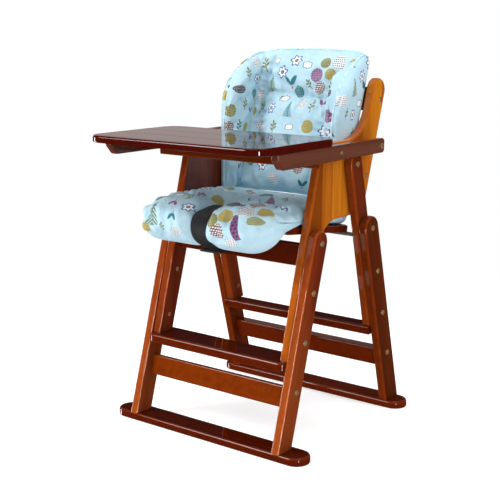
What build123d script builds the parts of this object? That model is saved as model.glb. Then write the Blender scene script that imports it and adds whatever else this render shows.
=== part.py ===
from build123d import *
import math
import os

# A folding wooden baby high chair with a lift-up tray, a tilting seat board and a padded liner.
# Millimetres. +Z is up, the front is towards -Y, and the chair is symmetric about X = 0.
# The origin is on the floor, at the middle of the chair's outline.
# Left and right are those of a person standing in front of the chair: left is -X.

# ---------------------------------------------------------------- driving dimensions
BOARD = 23.0            # thickness of the side panels, legs and arms
EDGE = 6.5              # round-over on their long edges
PANEL_IN = 189.0        # inner face of a side panel
PANEL_OUT = PANEL_IN + BOARD
FRONT_LEG_OUT = PANEL_OUT + BOARD
WASHER = 1.0            # between a side panel and the rear leg that turns on it
REAR_LEG_IN = PANEL_OUT + WASHER
REAR_LEG_MID = REAR_LEG_IN + BOARD
REAR_LEG_OUT = REAR_LEG_MID + BOARD
ARM_IN = 237.5          # inner face of a tray arm
ARM_OUT = ARM_IN + 20.0

FOOT_LENGTH_FRONT = 590.0
FOOT_LENGTH_REAR = 600.0
FOOT_DEPTH = 68.0
FOOT_HEIGHT = 19.5
FOOT_Y_FRONT = -178.0
FOOT_Y_REAR = 295.05

FRONT_LEAN = 16.5       # degrees from vertical
FRONT_BOLT = (-39.0, 499.0)
FRONT_BOLT_PITCH = 115.0
FRONT_LEG_AHEAD = 34.5  # leg edges from the bolt line, measured level
FRONT_LEG_BEHIND = 27.5
FRONT_LEG_TOP = 531.0

REAR_LEAN = 15.54
REAR_PIVOT = (115.5, 675.2)
REAR_BOLT_TOP = 509.8
REAR_BOLT_PITCH = 117.5
REAR_LEG_AHEAD = 36.0
REAR_LEG_BEHIND = 33.0
REAR_UPPER_LEAN = 14.4   # the folding leg stands a little steeper than the lower leg bolted to it
REAR_UPPER_HALF = 27.0
REAR_LEG_TOP = 540.0

ARMREST_TOP = 732.5
PANEL_EDGE = (-22.25, 683.5)
PANEL_EDGE_LEAN = 15.41
PANEL_LEG_BEHIND = 28.6
ARCH_TOP = 541.5
ARCH_RADIUS = 85.0
SCOOP_RADIUS = 115.0    # where the armrest sweeps up into the back post
POST_LEAN = 17.46
POST_EDGE = (290.15, 844.0)
POST_WIDTH = 62.0
POST_TOP = 879.0

STEP_TOP = 227.4
STEP_HEIGHT = 25.0
STEP_FRONT = -166.75
STEP_BACK = -85.0
STRETCHER_TOP = 240.0
STRETCHER_HEIGHT = 23.5
STRETCHER_FRONT = 192.0
STRETCHER_BACK = 244.0
CROSSBAR_HEIGHT = 51.5    # the crossbars lean with their legs
CROSSBAR_DEPTH = 24.0
FRONT_CROSSBAR = (-142.5, 138.0)
REAR_CROSSBAR = (260.35, 144.2)

SEAT_RAIL = (-64.65, -44.65)
SEAT_RAIL_LOW = 441.7
SEAT_RAIL_HEIGHT = 54.8
SEAT_PIVOT = (-44.6, 525.7)
SEAT_TILT = 7.13
SEAT_HALF_WIDTH = 184.0
SEAT_AHEAD = 75.0
SEAT_BEHIND = 225.0
SEAT_HEIGHT = 17.0
SEAT_PIN_RADIUS = 3.0
ROD_HEIGHT = 485.0
ROD_RADIUS = 5.0

TRAY_FRONT = -329.05
TRAY_BACK = -5.0
TRAY_LOW = 733.5
TRAY_HEIGHT = 17.5
TRAY_CORNER = 46.0
ARM_LOW = 697.0
ARM_FRONT = -260.65
ARM_BACK = 212.35
TRAY_PIVOT = (195.45, 714.9)
PAD_CENTRE = (3.75, 715.0)
TRAY_CROSSBAR = (-79.65, -61.65)
TRAY_CROSSBAR_LOW = 683.0
TRAY_SCREW_Y = (-220.0, -40.0)

RAIL_UPPER = (263.95, 825.4)
RAIL_SPACING = 199.0
RAIL_HEIGHT = 60.0
RAIL_DEPTH = 18.0
SLAT_WIDTH = 55.0
SLAT_DEPTH = 11.0
SLAT_PITCH = 110.0

CUSHION_HALF = 187.5
CUSHION_GAP = 1.5
BACK_PAD = 45.0
WING_PAD = 45.0
STRAP_X = -14.0
STRAP_WIDTH = 50.0
STRAP_THICKNESS = 2.0
STRAP_SLOT_Y = -104.0   # where it goes down through the cushion and the seat board
STRAP_FRONT = -188.0
STRAP_LOW = 468.0
STRAP_HIGH = 558.5
LOBE_GROOVE = 555.0     # floor of the cushion's groove under the strap
BUCKLE = (-160.0, -128.0)

BOLT_SHANK = 3.0
BOLT_HEAD = 7.4
BOLT_HEAD_HEIGHT = 2.4
NUT_RADIUS = 5.5
NUT_LENGTH = 13.0
SCREW_SHANK = 2.0
SCREW_HEAD = 5.8
SCREW_HEAD_HEIGHT = 1.6
PIVOT_SHANK = 4.0
RUNNING = 0.06          # radial clearance of a shaft that turns in its hole


# ---------------------------------------------------------------- helpers
def lean_y(point, lean, z):
    """Y at height z on the line through point that leans back by lean degrees."""
    return point[0] + math.tan(math.radians(lean)) * (z - point[1])


def outline(corners):
    """Closed outline from (y, z, corner radius) rows."""
    face = make_face(Polyline([(y, z) for y, z, _ in corners], close=True))
    for y, z, radius in corners:
        if radius > 0:
            corner = face.vertices().sort_by_distance((y, z, 0))[0]
            face = fillet(corner, radius)
    return face


def slab_x(face, x_low, x_high):
    """Solid from a Y-Z outline between two X planes."""
    return Pos(x_low, 0, 0) * extrude(Plane.YZ * face, x_high - x_low)


def round_side_edges(solid, radius, skip_below):
    """Round the outline edges of both faces of a board, apart from those at its foot."""
    sides = solid.faces().sort_by(Axis.X)
    edges = sides[0].edges() + sides[-1].edges()
    return fillet([e for e in edges if e.center().Z > skip_below], radius)


def box(x, y, z):
    """Block from its (low, high) extent along each axis."""
    middle = [(low + high) / 2 for low, high in (x, y, z)]
    return Pos(*middle) * Box(x[1] - x[0], y[1] - y[0], z[1] - z[0])


def rod_x(centre, radius, x_low, x_high):
    """Round bar along X."""
    middle = (x_low + x_high) / 2
    return Pos(middle, *centre) * Rot(0, 90, 0) * Cylinder(radius, x_high - x_low)


def rod_y(x, z, radius, y_low, y_high):
    """Round bar along Y."""
    return Pos(x, (y_low + y_high) / 2, z) * Rot(90, 0, 0) * Cylinder(radius, y_high - y_low)


def rod_z(x, y, radius, z_low, z_high):
    """Round bar along Z."""
    return Pos(x, y, (z_low + z_high) / 2) * Cylinder(radius, z_high - z_low)


def left_of(solid):
    """The left-hand copy of a right-hand piece."""
    return mirror(solid, about=Plane.YZ)


def both(solids):
    """A group of right-hand pieces with their left-hand copies."""
    return Compound(children=[*solids, *[left_of(s) for s in solids]])


def headed_bolt(centre, x_tip, x_face, shank, head, height):
    """Right-hand bolt: shank from x_tip out to x_face, with a round-edged socket head on it."""
    cap = rod_x(centre, head, x_face, x_face + height)
    rim = cap.faces().sort_by(Axis.X)[-1].edges()
    cap = fillet(rim, height * 0.55)
    socket = Plane.YZ * RegularPolygon(head * 0.36, 6)
    cap -= Pos(x_face + height * 0.35, *centre) * extrude(socket, height)
    return rod_x(centre, shank, x_tip, x_face) + cap


def write(name, solid):
    """One file for each node."""
    export_step(solid, f"parts/{name}.step")


# ---------------------------------------------------------------- places along the legs
front_bolts = [
    (lean_y(FRONT_BOLT, FRONT_LEAN, z), z)
    for z in [FRONT_BOLT[1] - i * FRONT_BOLT_PITCH for i in range(4)]
]
rear_bolts = [
    (lean_y(REAR_PIVOT, -REAR_LEAN, z), z)
    for z in [REAR_BOLT_TOP - i * REAR_BOLT_PITCH for i in range(4)]
]
rod_centre = (lean_y(REAR_PIVOT, -REAR_LEAN, ROD_HEIGHT), ROD_HEIGHT)
post_dir = (math.sin(math.radians(POST_LEAN)), math.cos(math.radians(POST_LEAN)))
rail_lower = (RAIL_UPPER[0] - RAIL_SPACING * post_dir[0], RAIL_UPPER[1] - RAIL_SPACING * post_dir[1])
rails = {"upper": RAIL_UPPER, "lower": rail_lower}
seat_rail_screws = [(sum(SEAT_RAIL) / 2, SEAT_RAIL_LOW + SEAT_RAIL_HEIGHT * k) for k in (0.28, 0.66)]


# ---------------------------------------------------------------- fasteners
def front_leg_bolt(place):
    return headed_bolt(place, PANEL_IN + 4, FRONT_LEG_OUT, BOLT_SHANK, BOLT_HEAD, BOLT_HEAD_HEIGHT)


def front_crossbar_bolt(place):
    return headed_bolt(place, PANEL_OUT - 40, FRONT_LEG_OUT, BOLT_SHANK, BOLT_HEAD, BOLT_HEAD_HEIGHT)


def rear_leg_bolt(place):
    return headed_bolt(place, REAR_LEG_IN + 4, REAR_LEG_OUT, BOLT_SHANK, BOLT_HEAD, BOLT_HEAD_HEIGHT)


def rear_crossbar_bolt(place):
    return headed_bolt(place, REAR_LEG_MID - 40, REAR_LEG_OUT, BOLT_SHANK, BOLT_HEAD, BOLT_HEAD_HEIGHT)


def insert_nut(place, x_face):
    """Threaded insert, flush with the inner face of a leg, around a bolt's end."""
    sleeve = rod_x(place, NUT_RADIUS, x_face, x_face + NUT_LENGTH)
    return sleeve - rod_x(place, BOLT_SHANK, x_face - 1, x_face + NUT_LENGTH + 1)


def rail_screw(place):
    return headed_bolt(place, PANEL_IN - 35, PANEL_OUT, SCREW_SHANK, SCREW_HEAD, SCREW_HEAD_HEIGHT)


def seat_rail_screw(place):
    """Screw whose flat head is sunk flush, under the lower leg."""
    head = rod_x(place, SCREW_HEAD, PANEL_OUT - 3, PANEL_OUT)
    return rod_x(place, SCREW_SHANK, PANEL_IN - 35, PANEL_OUT - 3) + head


rear_pivot_bolt = headed_bolt(
    REAR_PIVOT, PANEL_IN + 4, REAR_LEG_MID + 0.5, PIVOT_SHANK, BOLT_HEAD, BOLT_HEAD_HEIGHT
)
tray_pivot_bolt = headed_bolt(
    TRAY_PIVOT, PANEL_IN + 4, ARM_OUT + 0.5, PIVOT_SHANK, BOLT_HEAD, BOLT_HEAD_HEIGHT
)
pad_screw = headed_bolt(PAD_CENTRE, ARM_IN - 12, ARM_OUT, SCREW_SHANK, 4.6, SCREW_HEAD_HEIGHT)
seat_pin = rod_x(SEAT_PIVOT, SEAT_PIN_RADIUS, SEAT_HALF_WIDTH - 22, PANEL_OUT - 4)
pivot_washer = rod_x(REAR_PIVOT, 12, PANEL_OUT, REAR_LEG_IN - 0.05)
pivot_washer -= rod_x(REAR_PIVOT, PIVOT_SHANK, PANEL_OUT - 1, REAR_LEG_IN + 1)
tray_spacer = rod_x(TRAY_PIVOT, 12, PANEL_OUT, ARM_IN - 0.1)
tray_spacer -= rod_x(TRAY_PIVOT, PIVOT_SHANK, PANEL_OUT - 1, ARM_IN + 1)
tray_pad = fillet(rod_x(PAD_CENTRE, 11, PANEL_OUT + 1.2, ARM_IN).edges().sort_by(Axis.X)[0], 2)
tray_pad -= rod_x(PAD_CENTRE, SCREW_SHANK, ARM_IN - 12, ARM_IN + 1)

front_leg_bolts = [front_leg_bolt(p) for p in front_bolts[:3]]
front_leg_nuts = [insert_nut(p, PANEL_IN) for p in front_bolts[:3]]
rear_leg_bolts = [rear_leg_bolt(p) for p in rear_bolts[:3]]
rear_leg_nuts = [insert_nut(p, REAR_LEG_IN) for p in rear_bolts[:3]]
rail_screws = [rail_screw(p) for p in rails.values()]
rail_seat_screws = [seat_rail_screw(p) for p in seat_rail_screws]


def foot_screw(x, y):
    """Screw driven up through a foot into the end of a leg, its head sunk in the foot."""
    return rod_z(x, y, 2.5, 5, 60) + rod_z(x, y, 5, 1.5, 5)


# ---------------------------------------------------------------- side panel
def side_panel():
    """Front upper leg, armrest and back post, cut from one board."""
    front_low = lean_y(PANEL_EDGE, PANEL_EDGE_LEAN, STEP_TOP)
    front_high = lean_y(PANEL_EDGE, PANEL_EDGE_LEAN, ARMREST_TOP)
    behind = (FRONT_BOLT[0] + PANEL_LEG_BEHIND, FRONT_BOLT[1])
    width_level = POST_WIDTH / math.cos(math.radians(POST_LEAN))
    post_front = (POST_EDGE[0] - width_level, POST_EDGE[1])
    half = POST_WIDTH / 2
    crown_z = POST_TOP - half
    crown_y = lean_y(POST_EDGE, POST_LEAN, crown_z) - width_level / 2
    end = (crown_y + half * post_dir[0], crown_z + half * post_dir[1])
    face = outline([
        (front_low, STEP_TOP, 0),
        (front_high, ARMREST_TOP, 22),
        (lean_y(post_front, POST_LEAN, ARMREST_TOP), ARMREST_TOP, SCOOP_RADIUS),
        (end[0] - half * post_dir[1], end[1] + half * post_dir[0], half - 1),
        (end[0] + half * post_dir[1], end[1] - half * post_dir[0], half - 1),
        (lean_y(POST_EDGE, POST_LEAN, ARCH_TOP), ARCH_TOP, 14),
        (lean_y(behind, FRONT_LEAN, ARCH_TOP), ARCH_TOP, ARCH_RADIUS),
        (lean_y(behind, FRONT_LEAN, STEP_TOP), STEP_TOP, 0),
    ])
    panel = slab_x(face, PANEL_IN, PANEL_OUT)
    panel = round_side_edges(panel, EDGE, STEP_TOP + 1)
    for place in front_bolts[:3]:
        panel -= rod_x(place, BOLT_SHANK, PANEL_IN - 1, PANEL_OUT + 1)
        panel -= rod_x(place, NUT_RADIUS, PANEL_IN - 1, PANEL_IN + NUT_LENGTH)
    for place in rails.values():
        panel -= rod_x(place, SCREW_SHANK, PANEL_IN - 1, PANEL_OUT + 1)
    for screw in rail_seat_screws:
        panel -= screw
    for place in (REAR_PIVOT, TRAY_PIVOT):
        panel -= rod_x(place, PIVOT_SHANK, PANEL_IN + 4, PANEL_OUT + 1)
    return panel - rod_x(SEAT_PIVOT, SEAT_PIN_RADIUS, PANEL_IN - 1, PANEL_OUT - 4)


# ---------------------------------------------------------------- legs
def leaning_leg(line, lean, ahead, behind, z_low, z_high, x_low, x_high):
    """Straight leg with a round top; ahead and behind are measured level from the line."""
    half = (ahead + behind) * math.cos(math.radians(lean)) / 2
    up = (math.sin(math.radians(lean)), math.cos(math.radians(lean)))
    crown_z = z_high - half
    crown_y = lean_y(line, lean, crown_z) + (behind - ahead) / 2
    end = (crown_y + half * up[0], crown_z + half * up[1])
    low_y = lean_y(line, lean, z_low)
    face = outline([
        (low_y - ahead, z_low, 0),
        (end[0] - half * up[1], end[1] + half * up[0], half - 0.5),
        (end[0] + half * up[1], end[1] - half * up[0], half - 0.5),
        (low_y + behind, z_low, 0),
    ])
    return round_side_edges(slab_x(face, x_low, x_high), EDGE, z_low + 1)


def front_leg():
    leg = leaning_leg(
        FRONT_BOLT, FRONT_LEAN, FRONT_LEG_AHEAD, FRONT_LEG_BEHIND,
        FOOT_HEIGHT, FRONT_LEG_TOP, PANEL_OUT, FRONT_LEG_OUT,
    )
    for place in front_bolts:
        leg -= rod_x(place, BOLT_SHANK, PANEL_OUT - 1, FRONT_LEG_OUT + 1)
    return leg - front_foot_screw


def rear_leg_upper():
    level = REAR_UPPER_HALF / math.cos(math.radians(REAR_UPPER_LEAN))
    leg = leaning_leg(
        REAR_PIVOT, -REAR_UPPER_LEAN, level, level,
        STRETCHER_TOP, REAR_PIVOT[1] + REAR_UPPER_HALF, REAR_LEG_IN, REAR_LEG_MID,
    )
    for place in rear_bolts[:3]:
        leg -= rod_x(place, BOLT_SHANK, REAR_LEG_IN - 1, REAR_LEG_MID + 1)
        leg -= rod_x(place, NUT_RADIUS, REAR_LEG_IN - 1, REAR_LEG_IN + NUT_LENGTH)
    leg -= rod_x(rod_centre, ROD_RADIUS, REAR_LEG_IN - 1, REAR_LEG_MID - 8)
    return leg - rod_x(REAR_PIVOT, PIVOT_SHANK + RUNNING, REAR_LEG_IN - 1, REAR_LEG_MID + 1)


def rear_leg_lower():
    leg = leaning_leg(
        REAR_PIVOT, -REAR_LEAN, REAR_LEG_AHEAD, REAR_LEG_BEHIND,
        FOOT_HEIGHT, REAR_LEG_TOP, REAR_LEG_MID, REAR_LEG_OUT,
    )
    for place in rear_bolts:
        leg -= rod_x(place, BOLT_SHANK, REAR_LEG_MID - 1, REAR_LEG_OUT + 1)
    return leg - rear_foot_screw


def foot(length, y, screw):
    """Floor rail with half-round ends and rounded edges."""
    plan = Pos(0, y, 0) * SlotOverall(length, FOOT_DEPTH)
    rail = extrude(plan, FOOT_HEIGHT)
    rail = fillet(rail.faces().sort_by(Axis.Z)[-1].edges(), EDGE)
    rail = fillet(rail.faces().sort_by(Axis.Z)[0].edges(), 2.5)
    for side in (screw, left_of(screw)):
        rail -= side
        x = side.center().X
        rail -= rod_z(x, y, 5, -1, 1.5)
    return rail


# ---------------------------------------------------------------- rails, boards and bars
def crossbar(half_length, middle, lean, place):
    bar = Pos(0, *middle) * Rot(-lean, 0, 0) * Box(2 * half_length, CROSSBAR_DEPTH, CROSSBAR_HEIGHT)
    bar = fillet(bar.edges().filter_by(Axis.X), 4)
    hole = rod_x(place, BOLT_SHANK, half_length - 40, half_length + 1)
    return bar - hole - left_of(hole)


def footrest_board():
    board = box((-PANEL_OUT, PANEL_OUT), (STEP_FRONT, STEP_BACK), (STEP_TOP - STEP_HEIGHT, STEP_TOP))
    front_corners = board.edges().filter_by(Axis.Z).group_by(Axis.Y)[0]
    board = fillet(front_corners, 18)
    tops = board.faces().sort_by(Axis.Z)
    rim = [e for e in tops[0].edges() + tops[-1].edges() if e.center().Y < STEP_BACK - 1]
    front = [e for e in rim if abs(e.center().X) < PANEL_OUT - 0.5]
    return fillet(front, 7)


def rear_stretcher():
    bar = box(
        (-REAR_LEG_MID, REAR_LEG_MID), (STRETCHER_FRONT, STRETCHER_BACK),
        (STRETCHER_TOP - STRETCHER_HEIGHT, STRETCHER_TOP),
    )
    return fillet(bar.edges().filter_by(Axis.X), 6)


def seat_front_rail():
    rail = box((-PANEL_IN, PANEL_IN), SEAT_RAIL, (SEAT_RAIL_LOW, SEAT_RAIL_LOW + SEAT_RAIL_HEIGHT))
    rail = fillet(rail.edges().filter_by(Axis.X), 4)
    for screw in rail_seat_screws:
        rail -= screw
        rail -= left_of(screw)
    return rail


def back_rail(place):
    rail = Pos(0, *place) * Rot(-POST_LEAN, 0, 0) * Box(2 * PANEL_IN, RAIL_DEPTH, RAIL_HEIGHT)
    rail = fillet(rail.edges().filter_by(Axis.X), 4)
    hole = rod_x(place, SCREW_SHANK, PANEL_IN - 35, PANEL_IN + 1)
    return rail - hole - left_of(hole)


def back_slat(x):
    """Upright slat standing between the two back rails."""
    middle = [(a + b) / 2 for a, b in zip(RAIL_UPPER, rail_lower)]
    slat = Box(SLAT_WIDTH, SLAT_DEPTH, RAIL_SPACING - RAIL_HEIGHT)
    slat = fillet(slat.edges().filter_by(Axis.Z), 3)
    return Pos(x, *middle) * Rot(-POST_LEAN, 0, 0) * slat


def seat_board():
    board = Pos(0, (SEAT_BEHIND - SEAT_AHEAD) / 2, 0) * Box(
        2 * SEAT_HALF_WIDTH, SEAT_AHEAD + SEAT_BEHIND, SEAT_HEIGHT
    )
    board = fillet(board.edges().filter_by(Axis.Z), 22)
    board = fillet(board.edges().group_by(Axis.Z)[-1], 5)
    board = Pos(0, *SEAT_PIVOT) * Rot(-SEAT_TILT, 0, 0) * board
    board -= box(strap_span(4), (STRAP_SLOT_Y - 5, STRAP_SLOT_Y + 5), (480, 580))
    hole = rod_x(SEAT_PIVOT, SEAT_PIN_RADIUS + RUNNING, SEAT_HALF_WIDTH - 23, SEAT_HALF_WIDTH + 1)
    return board - hole - left_of(hole)


def tray_board():
    board = box(
        (-ARM_OUT, ARM_OUT), (TRAY_FRONT, TRAY_BACK), (TRAY_LOW, TRAY_LOW + TRAY_HEIGHT)
    )
    board = fillet(board.edges().filter_by(Axis.Z), TRAY_CORNER)
    board = fillet(board.faces().sort_by(Axis.Z)[-1].edges(), 6)
    return fillet(board.faces().sort_by(Axis.Z)[0].edges(), 4)


def tray_arm():
    face = outline([
        (ARM_FRONT, TRAY_LOW, 0),
        (ARM_FRONT, TRAY_LOW - 13, 6),
        (ARM_FRONT + 20, ARM_LOW, 14),
        (ARM_BACK, ARM_LOW, 9),
        (ARM_BACK, TRAY_LOW, 9),
    ])
    arm = slab_x(face, ARM_IN, ARM_OUT)
    sides = arm.faces().sort_by(Axis.X)
    edges = sides[0].edges() + sides[-1].edges()
    arm = fillet([e for e in edges if e.center().Z < TRAY_LOW - 0.5], 3.5)
    arm -= rod_x(PAD_CENTRE, SCREW_SHANK, ARM_IN - 1, ARM_OUT + 1)
    for y in TRAY_SCREW_Y:
        arm -= tray_screw(y)
    return arm - rod_x(TRAY_PIVOT, PIVOT_SHANK + RUNNING, ARM_IN - 1, ARM_OUT + 1)


def tray_screw(y):
    """Long screw up through an arm into the tray board, its head sunk in the arm."""
    x = (ARM_IN + ARM_OUT) / 2
    return rod_z(x, y, SCREW_SHANK, ARM_LOW + 3, TRAY_LOW + 10) + rod_z(x, y, 4, ARM_LOW, ARM_LOW + 3)


def tray_crossbar():
    bar = box((-ARM_IN, ARM_IN), TRAY_CROSSBAR, (TRAY_CROSSBAR_LOW, TRAY_LOW))
    low = bar.edges().filter_by(Axis.X).group_by(Axis.Z)[0]
    return fillet(low, 4)


# ---------------------------------------------------------------- liner and strap
def strap_span(margin):
    return (STRAP_X - STRAP_WIDTH / 2 - margin, STRAP_X + STRAP_WIDTH / 2 + margin)


def back_cushion():
    """Pad against the back rails with a wing that runs forward along each side panel."""
    gap = (RAIL_DEPTH / 2 + CUSHION_GAP) / post_dir[1]
    back = (RAIL_UPPER[0] - gap, RAIL_UPPER[1])
    pad_depth = BACK_PAD / post_dir[1]
    low, top = 575.0, 945.0
    pad = outline([
        (lean_y(back, POST_LEAN, low) - pad_depth, low, 12),
        (lean_y(back, POST_LEAN, top) - pad_depth, top, 20),
        (lean_y(back, POST_LEAN, top), top, 20),
        (lean_y(back, POST_LEAN, low), low, 12),
    ])
    wing_low = 598.0
    wing = outline([
        (98, wing_low, 14),
        (98, 790, 40),
        (132, 862, 30),
        (196, 905, 30),
        (lean_y(back, POST_LEAN, 938) - 12, 938, 14),
        (lean_y(back, POST_LEAN, wing_low), wing_low, 10),
    ])
    cushion = slab_x(pad, -CUSHION_HALF, CUSHION_HALF)
    wing = slab_x(wing, CUSHION_HALF - WING_PAD, CUSHION_HALF)
    cushion = cushion + wing + left_of(wing)
    corners = box((CUSHION_HALF - 40, CUSHION_HALF + 5), (0, 400), (905, 960))
    corners -= rod_y(CUSHION_HALF - 40, 905, 40, -10, 410)
    return cushion - corners - left_of(corners)


def seat_cushion():
    """Seat pad with a deep front roll, grooved and slit for the strap."""
    board_front = SEAT_PIVOT[0] - SEAT_AHEAD * math.cos(math.radians(SEAT_TILT)) - 2.5
    on_board = (SEAT_PIVOT[0], SEAT_PIVOT[1] + SEAT_HEIGHT / 2 / math.cos(math.radians(SEAT_TILT)) + 0.5)
    drop = math.tan(math.radians(SEAT_TILT))

    def board_z(y):
        return on_board[1] - drop * (y - on_board[0])

    face = outline([
        (164, board_z(164), 6),
        (164, 562, 22),
        (40, 587, 80),
        (-165, 592, 60),
        (-217, 548, 30),
        (-203, 505, 30),
        (-145, 476, 20),
        (board_front, 482, 10),
        (board_front, board_z(board_front), 0),
    ])
    pad = slab_x(face, -CUSHION_HALF, CUSHION_HALF)
    span = strap_span(5)
    slit = (STRAP_SLOT_Y - 8, STRAP_SLOT_Y + 6)
    core = outline([
        (STRAP_FRONT + 4, 440, 0),
        (STRAP_FRONT + 4, LOBE_GROOVE, 20),
        (slit[0], LOBE_GROOVE, 0),
        (slit[0], 440, 0),
    ])
    groove = box(span, (-230, slit[0]), (450, 610)) - slab_x(core, *span)
    return pad - groove - box(span, slit, (450, 610))


def crotch_strap():
    """Webbing through the slit, over the front roll and back to the buckle below."""
    path = FilletPolyline(
        (BUCKLE[1], STRAP_LOW),
        (BUCKLE[1] + 8, STRAP_LOW),
        (STRAP_SLOT_Y, 486),
        (STRAP_SLOT_Y, STRAP_HIGH),
        (STRAP_FRONT, STRAP_HIGH),
        (STRAP_FRONT, STRAP_LOW),
        (BUCKLE[0], STRAP_LOW),
        radius=[6, 8, 7, 18, 12],
    )
    face = trace(path, STRAP_THICKNESS)
    x_low, x_high = strap_span(0)
    return slab_x(face, x_low, x_high)


def strap_buckle():
    """Three-bar slide that joins the strap's two ends."""
    middle = (STRAP_X, sum(BUCKLE) / 2, STRAP_LOW)
    depth = BUCKLE[1] - BUCKLE[0]
    frame = Box(STRAP_WIDTH + 12, depth, 5)
    frame = fillet(frame.edges().filter_by(Axis.Z), 5)
    frame = fillet(frame.faces().sort_by(Axis.Z)[0].edges(), 1.5)
    for y in (-depth / 4, depth / 4):
        frame -= Pos(0, y, 0) * Box(STRAP_WIDTH, 6, 10)
    return Pos(*middle) * frame


# ---------------------------------------------------------------- assembly
front_foot_screw = foot_screw((PANEL_OUT + FRONT_LEG_OUT) / 2, FOOT_Y_FRONT)
rear_foot_screw = foot_screw((REAR_LEG_MID + REAR_LEG_OUT) / 2, FOOT_Y_REAR)
os.makedirs("parts", exist_ok=True)

pairs = {
    "side_panel": side_panel(),
    "front_leg": front_leg(),
    "rear_leg_upper": rear_leg_upper(),
    "rear_leg_lower": rear_leg_lower(),
    "tray_arm": tray_arm(),
}
for name, right in pairs.items():
    write(f"{name}_right", right)
    write(f"{name}_left", left_of(right))

for side, x in (("left", -SLAT_PITCH), ("middle", 0), ("right", SLAT_PITCH)):
    write(f"back_slat_{side}", back_slat(x))
for name, place in rails.items():
    write(f"back_rail_{name}", back_rail(place))

tray = tray_board()
for y in TRAY_SCREW_Y:
    tray -= tray_screw(y)
    tray -= left_of(tray_screw(y))

single = {
    "front_foot": foot(FOOT_LENGTH_FRONT, FOOT_Y_FRONT, front_foot_screw),
    "rear_foot": foot(FOOT_LENGTH_REAR, FOOT_Y_REAR, rear_foot_screw),
    "front_crossbar": crossbar(PANEL_OUT, FRONT_CROSSBAR, FRONT_LEAN, front_bolts[3]),
    "rear_crossbar": crossbar(REAR_LEG_MID, REAR_CROSSBAR, -REAR_LEAN, rear_bolts[3]),
    "footrest_board": footrest_board(),
    "rear_stretcher": rear_stretcher(),
    "seat_front_rail": seat_front_rail(),
    "seat_board": seat_board(),
    "seat_support_rod": rod_x(rod_centre, ROD_RADIUS, -REAR_LEG_MID + 8, REAR_LEG_MID - 8),
    "tray_board": tray,
    "tray_crossbar": tray_crossbar(),
    "back_cushion": back_cushion(),
    "seat_cushion": seat_cushion(),
    "crotch_strap": crotch_strap(),
    "strap_buckle": strap_buckle(),
}
for name, solid in single.items():
    write(name, solid)

groups = {
    "front_leg_bolts": front_leg_bolts,
    "front_leg_nuts": front_leg_nuts,
    "front_crossbar_bolts": [front_crossbar_bolt(front_bolts[3])],
    "front_foot_screws": [front_foot_screw],
    "rear_leg_bolts": rear_leg_bolts,
    "rear_leg_nuts": rear_leg_nuts,
    "rear_crossbar_bolts": [rear_crossbar_bolt(rear_bolts[3])],
    "rear_foot_screws": [rear_foot_screw],
    "back_rail_screws": rail_screws,
    "seat_rail_screws": rail_seat_screws,
    "rear_pivot_bolts": [rear_pivot_bolt],
    "rear_pivot_washers": [pivot_washer],
    "tray_pivot_bolts": [tray_pivot_bolt],
    "tray_pivot_spacers": [tray_spacer],
    "tray_guide_pads": [tray_pad],
    "tray_pad_screws": [pad_screw],
    "tray_screws": [tray_screw(y) for y in TRAY_SCREW_Y],
    "seat_pivot_pins": [seat_pin],
}
for name, solids in groups.items():
    write(name, both(solids))
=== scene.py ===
"""Looks for the folding wooden high chair: varnished wood, printed liner, webbing, camera and light."""
import math

import bmesh
import bpy
import numpy as np
from mathutils import Matrix, Vector


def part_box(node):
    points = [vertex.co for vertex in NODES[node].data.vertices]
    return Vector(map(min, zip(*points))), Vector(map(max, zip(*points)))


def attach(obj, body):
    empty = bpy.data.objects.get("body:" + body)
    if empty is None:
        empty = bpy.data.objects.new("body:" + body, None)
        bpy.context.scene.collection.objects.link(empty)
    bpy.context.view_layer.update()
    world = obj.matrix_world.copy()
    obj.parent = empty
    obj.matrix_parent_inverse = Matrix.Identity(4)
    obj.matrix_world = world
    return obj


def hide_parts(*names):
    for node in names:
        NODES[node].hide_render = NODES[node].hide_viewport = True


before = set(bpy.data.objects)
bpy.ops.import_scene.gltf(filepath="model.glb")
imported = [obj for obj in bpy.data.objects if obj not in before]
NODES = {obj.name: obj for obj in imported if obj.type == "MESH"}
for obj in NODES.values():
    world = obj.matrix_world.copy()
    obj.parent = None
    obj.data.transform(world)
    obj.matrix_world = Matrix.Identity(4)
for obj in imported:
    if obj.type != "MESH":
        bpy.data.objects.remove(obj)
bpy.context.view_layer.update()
NODES_BOX = {name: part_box(name) for name in ("side_panel_right", "strap_buckle")}
LEAN_FRONT = math.radians(16.5)
LEAN_REAR = math.radians(-15.54)
LEAN_POST = math.radians(17.46)


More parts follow.
